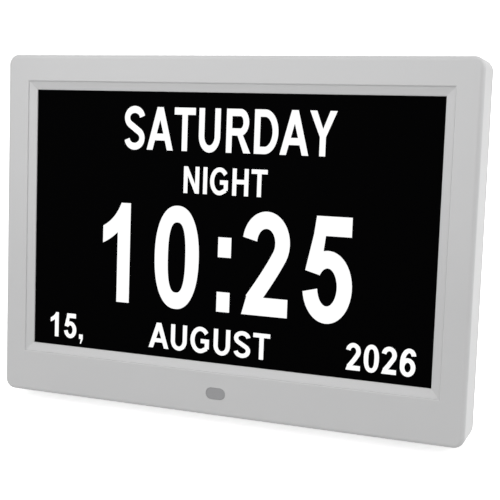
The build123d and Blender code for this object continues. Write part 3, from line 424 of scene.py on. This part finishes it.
class Alphabet:
    """Bold grotesque signs drawn with an elliptical nib: wide across stems, thinner across bars."""

    stem = 0.205
    bar = 0.165
    digit_stem = 0.200
    overshoot = 0.015
    arc_steps = 40
    ring_overlap = 24.0
    outer_power = 2.25
    inner_power = 2.6
    stem_bearing = 0.100
    wide_advance = 1.008
    digit_advance = 0.777

    def __init__(self) -> None:
        """Draws every sign that the display uses."""
        self.nib = self.stem
        letters = {"S": self.letter_s, "A": self.letter_a, "T": self.letter_t, "U": self.letter_u,
                   "R": self.letter_r, "D": self.letter_d, "Y": self.letter_y, "N": self.letter_n,
                   "I": self.letter_i, "G": self.letter_g, "H": self.letter_h}
        digits = {"0": self.digit_0, "1": self.digit_1, "2": self.digit_2, "5": self.digit_5,
                  "6": self.digit_6, ",": self.comma}
        self.signs = {sign: draw() for sign, draw in letters.items()}
        self.nib = self.digit_stem
        self.signs.update({sign: draw() for sign, draw in digits.items()})

    def arc(self, centre: Spot, radii: Spot, start: float, end: float) -> np.ndarray:
        """Points of an ellipse: centre + radii times (cos t, sin t), t in degrees from start to end."""
        turn = np.radians(np.linspace(start, end, self.arc_steps))
        return np.array(centre) + np.array(radii) * np.stack([np.cos(turn), np.sin(turn)], axis=1)

    def ring(self, centre: Spot, radii: Spot) -> Strip:
        """A closed bowl, carried a little past its start so that no seam shows."""
        return self.stroke(self.arc(centre, radii, -180, 180 + self.ring_overlap))

    def oval(self, centre: Spot, radii: Spot, power: float) -> np.ndarray:
        """Points of a closed oval about its centre: |x / a|^power + |y / b|^power = 1."""
        turn = np.linspace(-np.pi, np.pi, 2 * self.arc_steps)
        ring = np.stack([np.cos(turn), np.sin(turn)], axis=1)
        return np.array(centre) + np.array(radii) * np.sign(ring) * np.abs(ring) ** (2 / power)

    def curve(self, start: Spot, bend: Spot, end: Spot) -> np.ndarray:
        """Points of a quadratic curve: (1 - t)^2 start + 2 t (1 - t) bend + t^2 end."""
        t = np.linspace(0.0, 1.0, self.arc_steps)[:, None]
        return (1 - t) ** 2 * np.array(start) + 2 * t * (1 - t) * np.array(bend) + t**2 * np.array(end)

    def stroke(self, *runs: Any) -> Strip:
        """Carries the nib along a path.

        Each rail is the path moved along its normal n by the nib's half width there, which is the length
        of (stem nx / 2, bar ny / 2).

        Args:
            runs: stretches of the path, each a list of points.

        Returns:
            The stroke with square ends.
        """
        path = np.concatenate([np.atleast_2d(run) for run in runs])
        along = np.gradient(path, axis=0)
        along /= np.linalg.norm(along, axis=1, keepdims=True)
        normal = np.stack([-along[:, 1], along[:, 0]], axis=1)
        half = np.linalg.norm(normal * (self.nib / 2, self.bar / 2), axis=1, keepdims=True)
        return Strip(path + normal * half, path - normal * half)

    def block(self, left: float, bottom: float, right: float, top: float) -> Strip:
        """An upright or lying bar with square corners."""
        return self.slant((left, right), bottom, (left, right), top)

    def slant(self, low: Spot, bottom: float, high: Spot, top: float) -> Strip:
        """A leaning stroke with level ends: low and high are its left and right edges at each end."""
        left, right = (np.array([(low[i], bottom), (high[i], top)]) for i in (0, 1))
        return Strip(left, right)

    def letter_s(self) -> Glyph:
        """Two half bowls joined by a spine that is tangent to both."""
        reach, lean, middle = 0.288, 55.0, 0.39
        top = 1.0 + self.overshoot - self.bar / 2
        rise = (2 * top - 1) / (2 * (1 + 1 / math.sin(math.radians(lean))))
        upper = self.arc((middle, top - rise), (reach, rise), 8, 180 + lean)
        lower = self.arc((middle, 1 - top + rise), (reach, rise), lean, -172)
        return Glyph((self.stroke(upper, lower),), bearing=0.061, advance=0.931)

    def letter_a(self) -> Glyph:
        """Two leaning legs that share a flat top, and a crossbar."""
        apex, foot = (0.385, 0.615), 0.225
        legs = [self.slant((0.0, foot), 0.0, apex, 1.0), self.slant((1.0 - foot, 1.0), 0.0, apex, 1.0)]
        return Glyph((*legs, self.block(0.25, 0.225, 0.75, 0.385)),
                     bearing=0.0, advance=self.wide_advance)

    def letter_t(self) -> Glyph:
        """A top bar over a stem."""
        width = 0.79
        side = (width - self.stem) / 2
        return Glyph((self.block(0.0, 1.0 - self.bar, width, 1.0),
                      self.block(side, 0.0, side + self.stem, 1.0 - self.bar)),
                     bearing=0.030, advance=0.853)

    def letter_u(self) -> Glyph:
        """Two stems run into a round bottom."""
        width, spring = 0.79, 0.37
        inset = self.stem / 2
        radii = (width / 2 - inset, spring + self.overshoot - self.bar / 2)
        bottom = self.arc((width / 2, spring), radii, 180, 360)
        path = self.stroke((inset, 1.0), bottom, (width - inset, 1.0))
        return Glyph((path,), bearing=self.stem_bearing, advance=self.wide_advance)

    def bowl(self, foot: float, straight: float, width: float) -> Strip:
        """A half-round stroke from the stem and back, between a lower bar and the top bar."""
        high, low = 1.0 - self.bar / 2, foot + self.bar / 2
        radii = (width - self.nib / 2 - straight, (high - low) / 2)
        turn = self.arc((straight, (high + low) / 2), radii, 90, -90)
        return self.stroke((self.stem, high), turn, (self.stem, low))

    def letter_r(self) -> Glyph:
        """A stem, a bowl on its upper half and a leaning leg."""
        leg = self.slant((0.635, 0.885), 0.0, (0.385, 0.585), 0.43)
        upper = (self.block(0.0, 0.0, self.stem, 1.0), self.bowl(0.395, 0.50, 0.81))
        return Glyph((*upper, leg), bearing=self.stem_bearing, advance=self.wide_advance)

    def letter_d(self) -> Glyph:
        """A stem and one full bowl."""
        strokes = (self.block(0.0, 0.0, self.stem, 1.0), self.bowl(0.0, 0.37, 0.845))
        return Glyph(strokes, bearing=self.stem_bearing, advance=self.wide_advance)

    def letter_y(self) -> Glyph:
        """Two arms that meet on a short stem."""
        foot, fork, width, arm = (0.3625, 0.5675), 0.42, 0.93, 0.24
        arms = [self.slant(foot, fork, edges, 1.0) for edges in ((0.0, arm), (width - arm, width))]
        return Glyph((self.block(foot[0], 0.0, foot[1], fork), *arms), bearing=0.0, advance=0.931)

    def stems(self, width: float) -> tuple[Strip, Strip]:
        """Two upright stems at the edges of a letter."""
        return self.block(0.0, 0.0, self.stem, 1.0), self.block(width - self.stem, 0.0, width, 1.0)

    def letter_n(self) -> Glyph:
        """Two stems and the diagonal between them."""
        width = 0.80
        diagonal = self.slant((width - self.stem, width), 0.0, (0.0, self.stem), 1.0)
        return Glyph((*self.stems(width), diagonal),
                     bearing=self.stem_bearing, advance=self.wide_advance)

    def letter_i(self) -> Glyph:
        """One stem."""
        return Glyph((self.block(0.0, 0.0, self.stem, 1.0),), bearing=0.095, advance=0.388)

    def letter_g(self) -> Glyph:
        """An open ring with a spur and a bar at its lower right."""
        width, shelf, middle = 0.905, 0.545, (0.475, 0.5)
        radii = (middle[0] - self.stem / 2, middle[1] + self.overshoot - self.bar / 2)
        ring = self.arc(middle, radii, 36, 296)
        spur = self.block(width - self.stem, 0.165, width, shelf)
        return Glyph((self.stroke(ring, (width - self.stem / 2, 0.185)), spur,
                      self.block(0.50, shelf - self.bar, width - self.stem, shelf)),
                     bearing=0.060, advance=1.086)

    def letter_h(self) -> Glyph:
        """Two stems and a crossbar."""
        width, low = 0.80, 0.43
        crossbar = self.block(self.stem, low, width - self.stem, low + self.bar)
        return Glyph((*self.stems(width), crossbar),
                     bearing=self.stem_bearing, advance=self.wide_advance)

    def digit_0(self) -> Glyph:
        """The ring between two ovals, of which the inner one is squarer."""
        middle, reach, rise = (0.33, 0.5), 0.33, 0.5 + self.overshoot
        outer = self.oval(middle, (reach, rise), self.outer_power)
        inner = self.oval(middle, (reach - self.nib, rise - self.bar), self.inner_power)
        return Glyph((Strip(outer, inner),), bearing=0.056, advance=self.digit_advance)

    def digit_1(self) -> Glyph:
        """A stem under a flag whose two edges curve up to it."""
        left, right, root = 0.235, 0.435, 0.705
        top = self.curve((0.0, 0.762), (0.195, 0.835), (0.287, 1.0))
        under = self.curve((0.0, 0.590), (0.135, 0.635), (left, root))[::2]
        corner = np.array([(right, root)])
        edge = np.linspace((right, root), (right, 1.0), len(top) - len(under) - 1)
        return Glyph((self.block(left, 0.0, right, root),
                      Strip(top, np.concatenate([under, corner, edge]))),
                     bearing=0.110, advance=self.digit_advance)

    def digit_2(self) -> Glyph:
        """A hook that runs down into a base bar."""
        hook = self.arc((0.335, 0.705), (0.225, 0.222), 172, -34)
        tail = self.curve(hook[-1], (0.40, 0.40), (0.145, 0.125))
        base = self.slant((0.02, 0.655), 0.0, (0.085, 0.655), 0.178)
        return Glyph((self.stroke(hook, tail[1:]), base), bearing=0.035, advance=self.digit_advance)

    def digit_5(self) -> Glyph:
        """A top bar, a short leaning stroke and an open bowl."""
        bowl = self.stroke(self.arc((0.330, 0.331), (0.230, 0.263), 141, -172))
        left, right = [(0.030, 0.480), (0.128, 0.82)], [(0.228, 0.441), (0.290, 0.82)]
        lean = Strip(np.array(left), np.array(right))
        top = self.slant((0.128, 0.630), 0.815, (0.160, 0.630), 1.0)
        return Glyph((top, lean, bowl), bearing=0.060, advance=self.digit_advance)

    def digit_6(self) -> Glyph:
        """A closed bowl under a tall open curve."""
        bowl = self.ring((0.337, 0.325), (0.230, 0.257))
        hook = self.arc((0.386, 0.738), (0.190, 0.195), 3, 90)
        back = self.arc((0.386, 0.470), (0.279, 0.463), 90, 180)
        return Glyph((bowl, self.stroke(hook, back[1:], (0.107, 0.325))),
                     bearing=0.054, advance=self.digit_advance)

    def comma(self) -> Glyph:
        """A square point with a short tail."""
        side, height = self.nib, 0.95 * self.nib
        tail = self.slant((0.055, 0.110), -0.190, (0.095, side), 0.0)
        return Glyph((self.block(0.0, 0.0, side, height), tail), bearing=0.09, advance=0.388)


@dataclass(frozen=True)
class TextLine:
    """A line of signs fitted into a box on the display, in millimetres on the clock face."""

    signs: str
    left: float
    right: float
    bottom: float
    top: float

    def strips(self, alphabet: Alphabet) -> list[Strip]:
        """Sets the signs side by side and stretches them to the box.

        Args:
            alphabet: the drawn signs.

        Returns:
            The line's strips in face coordinates.
        """
        placed: list[Strip] = []
        pen = 0.0
        for sign in self.signs:
            glyph = alphabet.signs[sign]
            placed += [strip.moved(pen + glyph.bearing) for strip in glyph.strips]
            pen += glyph.advance
        across = np.concatenate([rail[:, 0] for strip in placed for rail in (strip.left, strip.right)])
        shift = np.array([across.min(), 0.0])
        scale = np.array([(self.right - self.left) / np.ptp(across), self.top - self.bottom])
        corner = np.array([self.left, self.bottom])
        return [Strip(*((rail - shift) * scale + corner for rail in (strip.left, strip.right)))
                for strip in placed]


def sheet_mesh(name: str, strips: list[Strip], face: FaceFrame, depth: float) -> bpy.types.Object:
    """Lays strips on the clock face as one flat mesh.

    The quads of all strips are cut where they cross and joined: a triangle of their common triangulation
    stays where any quad covers it, and it stays once.

    Args:
        name: the piece's name.
        strips: strips in face coordinates.
        face: axes of the clock face.
        depth: depth of the sheet behind the front face.

    Returns:
        The piece, with every triangle turned to the viewer.
    """
    flat, quads, start = [], [], 0
    for strip in strips:
        count = len(strip.left)
        step = start + np.arange(count - 1)
        quads.append(np.stack([step, step + 1, step + 1 + count, step + count], axis=1))
        flat += [strip.left, strip.right]
        start += 2 * count
    points, faces = np.concatenate(flat), np.concatenate(quads)
    corner = points[faces]
    turn = np.cross(corner[:, 2] - corner[:, 0], corner[:, 3] - corner[:, 1])
    faces = np.where((turn < 0)[:, None], faces[:, ::-1], faces)
    spots, _, triangles, _, _, covers = delaunay_2d_cdt(
        points.tolist(), [], faces.tolist(), ALL_TRIANGLES, WELD_MM)
    kept = [triangle for triangle, cover in zip(triangles, covers) if cover]
    u, v = np.array(spots).T
    mesh = bpy.data.meshes.new(name)
    mesh.from_pydata(face.place(u, v, depth).tolist(), [], kept)
    mesh.validate()
    piece = bpy.data.objects.new(name, mesh)
    bpy.context.scene.collection.objects.link(piece)
    return piece


@dataclass(frozen=True)
class Display:
    """What the lit screen shows: weekday, part of the day, time and date."""

    face: FaceFrame
    rise: float = 0.03
    digit_bottom: float = 53.0
    digit_top: float = 104.4
    one_top: float = 105.0
    dot_left: float = -2.4
    dot_right: float = 4.7
    dot_height: float = 10.1
    dot_gap: float = 27.6
    date_bottom: float = 31.0
    date_top: float = 44.2

    def lines(self) -> dict[str, list[TextLine]]:
        """The pieces of the display and the lines of signs in each."""
        time = [
            TextLine("1", -67.9, -52.0, self.digit_bottom, self.one_top),
            TextLine("0", -37.6, -12.8, self.digit_bottom, self.digit_top),
            TextLine("2", 11.0, 35.6, self.digit_bottom, self.digit_top),
            TextLine("5", 43.0, 67.8, self.digit_bottom, self.digit_top),
        ]
        return {
            "weekday_line": [TextLine("SATURDAY", -56.6, 57.0, 132.9, 154.6)],
            "daypart_line": [TextLine("NIGHT", -22.4, 22.7, 111.8, 125.3)],
            "time_digits": time,
            "day_number": [TextLine("15,", -98.9, -79.0, self.date_bottom, self.date_top)],
            "month_line": [TextLine("AUGUST", -39.8, 27.2, self.date_bottom, self.date_top)],
            "year_number": [TextLine("2026", 66.3, 100.5, self.date_bottom, self.date_top)],
        }

    def dots(self, alphabet: Alphabet) -> list[Strip]:
        """The two square points between hours and minutes."""
        lows = (self.digit_bottom, self.digit_bottom + self.dot_gap)
        left, right, height = self.dot_left, self.dot_right, self.dot_height
        return [alphabet.block(left, low, right, low + height) for low in lows]

    def build(self, ink: bpy.types.Material) -> None:
        """Makes every piece of the display and lays it on the liquid crystal cell."""
        alphabet = Alphabet()
        depth = self.face.depths("lcd_cell")[0] - self.rise
        for name, lines in self.lines().items():
            strips = [strip for line in lines for strip in line.strips(alphabet)]
            if name == "time_digits":
                strips += self.dots(alphabet)
            piece = sheet_mesh(name, strips, self.face, depth)
            piece.data.materials.append(ink)
            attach(piece, "case")
            LOG.info("%s: %d triangles", name, len(piece.data.polygons))


@dataclass(frozen=True)
class Housing:
    """The CAD pieces of the clock and the finish each one wears."""

    effects: Effects

    def dress(self) -> None:
        """Gives every CAD node the material of its slot."""
        materials = {finish.slot: finish.build(self.effects) for finish in FINISHES}
        for row in frame["record"]["subparts"]:
            node = frame["nodes"][row["node"]]
            material = materials[row["material_slot"]]
            if node.material_slots:
                node.material_slots[0].material = material
            else:
                node.data.materials.append(material)
            LOG.info("%s wears %s", row["node"], material.name)


@dataclass(frozen=True)
class SoftBox:
    """A square studio lamp aimed at a point, in metres and watts."""

    name: str
    place: Place
    aim: Place
    side: float
    power: float

    def build(self) -> None:
        """Makes the lamp and turns it to its aim."""
        data = bpy.data.lights.new(self.name, "AREA")
        data.shape = "SQUARE"
        data.size = self.side
        data.energy = self.power
        lamp = bpy.data.objects.new(self.name, data)
        lamp.location = self.place
        lamp.visible_camera = False
        lamp.rotation_euler = (Vector(self.aim) - Vector(self.place)).to_track_quat("-Z", "Y").to_euler()
        bpy.context.scene.collection.objects.link(lamp)
        LOG.info("lamp %s: %.2f W", self.name, self.power)


@dataclass(frozen=True)
class Studio:
    """Pale floor, soft light and the camera."""

    eye: Place = (0.20235, -0.46512, 0.25633)
    aim: Place = (0.01108, -0.00132, 0.08542)
    roll_deg: float = -3.308
    lens_mm: float = 75.54
    near_clip: float = 0.01
    floor_half: float = 9.0
    floor_steps: int = 25
    floor_bounce: float = 0.60
    floor_albedo: float = 0.90
    floor_lift: float = 0.66
    ambient: float = 0.628
    lamps: tuple[SoftBox, ...] = (
        SoftBox("main_box", (-0.085, -0.282, 0.36), (0.0, 0.0, 0.12), 0.5, 0.72),
        SoftBox("side_box", (0.60, 0.15, 0.366), (0.1, 0.0, 0.12), 0.5, 1.10),
        SoftBox("fill_box", (0.60, -0.72, 0.50), (0.0, 0.0, 0.12), 0.5, 0.20),
        SoftBox("top_box", (0.45, 0.14, 1.15), (0.0, 0.0, 0.10), 0.5, 1.13),
        SoftBox("back_box", (-0.35, 0.90, 0.26), (0.0, 0.0, 0.10), 0.6, 3.4),
    )

    def camera(self) -> None:
        """Makes the camera, looking from eye to aim and turned about that line."""
        data = bpy.data.cameras.new("studio_camera")
        data.lens = self.lens_mm
        data.clip_start = self.near_clip
        camera = bpy.data.objects.new("studio_camera", data)
        look = (Vector(self.aim) - Vector(self.eye)).to_track_quat("-Z", "Y").to_matrix().to_4x4()
        roll = Matrix.Rotation(math.radians(self.roll_deg), 4, "Z")
        camera.matrix_world = Matrix.Translation(self.eye) @ look @ roll
        bpy.context.scene.collection.objects.link(camera)
        bpy.context.scene.camera = camera

    def floor(self) -> None:
        """Makes the floor, a level square grid at height 0."""
        steps = self.floor_steps
        reach = np.linspace(-self.floor_half, self.floor_half, steps)
        across, along = np.meshgrid(reach, reach, indexing="ij")
        points = np.stack([across, along, np.zeros_like(across)], axis=-1).reshape(-1, 3)
        cell = (np.arange(steps - 1)[:, None] * steps + np.arange(steps - 1)).ravel()
        faces = np.stack([cell, cell + steps, cell + steps + 1, cell + 1], axis=1)
        mesh = bpy.data.meshes.new("studio_floor")
        mesh.from_pydata(points.tolist(), [], faces.tolist())
        mesh.materials.append(self.floor_material())
        floor = bpy.data.objects.new("studio_floor", mesh)
        bpy.context.scene.collection.objects.link(floor)

    def floor_material(self) -> bpy.types.Material:
        """Pale to the camera, darker for the light it throws back, and lifted where it is seen."""
        material = bpy.data.materials.new("studio_floor")
        material.use_nodes = True
        net = Net(material.node_tree)
        direct = net.add("LightPath").outputs["Is Camera Ray"]
        limits = {"To Min": self.floor_bounce, "To Max": self.floor_albedo}
        grey = net.add("MapRange", {"Value": direct, **limits})
        pale = net.add("BsdfDiffuse", {"Color": grey.outputs[0]})
        strength = net.maths("MULTIPLY", self.seen(net), self.floor_lift)
        lift = net.add("Emission", {"Color": WHITE, "Strength": strength})
        both = net.add("AddShader", {0: pale.outputs[0], 1: lift.outputs[0]})
        net.add("OutputMaterial", {"Surface": both.outputs[0]})
        return material

    def seen(self, net: Net) -> bpy.types.NodeSocket:
        """1 for rays from the camera, and for those mirrored or passed on by gloss and glass."""
        path = net.add("LightPath").outputs
        glossy = net.maths("MAXIMUM", path["Is Camera Ray"], path["Is Glossy Ray"])
        return net.maths("MAXIMUM", glossy, path["Is Transmission Ray"])

    def sky(self) -> None:
        """Makes the world: white where it is seen, and a dimmer even light on the clock."""
        world = bpy.data.worlds.new("studio_sky")
        world.use_nodes = True
        net = Net(world.node_tree)
        strength = net.add("MapRange", {"Value": self.seen(net), "To Min": self.ambient, "To Max": 1.0})
        glow = net.add("Background", {"Color": WHITE, "Strength": strength.outputs[0]})
        net.add("OutputWorld", {"Surface": glow.outputs[0]})
        bpy.context.scene.world = world

    def build(self) -> None:
        """Sets up everything that isn't part of the clock."""
        bpy.context.scene.view_settings.view_transform = "Standard"
        self.camera()
        self.floor()
        self.sky()
        for lamp in self.lamps:
            lamp.build()


def main() -> None:
    """Dresses the clock, lights its display and sets up the studio."""
    logging.basicConfig(level=logging.INFO)
    effects = Effects()
    Housing(effects).dress()
    Display(FaceFrame.of_clock()).build(LitInk().build(effects))
    Studio().build()


if __name__ == "__main__":
    main()
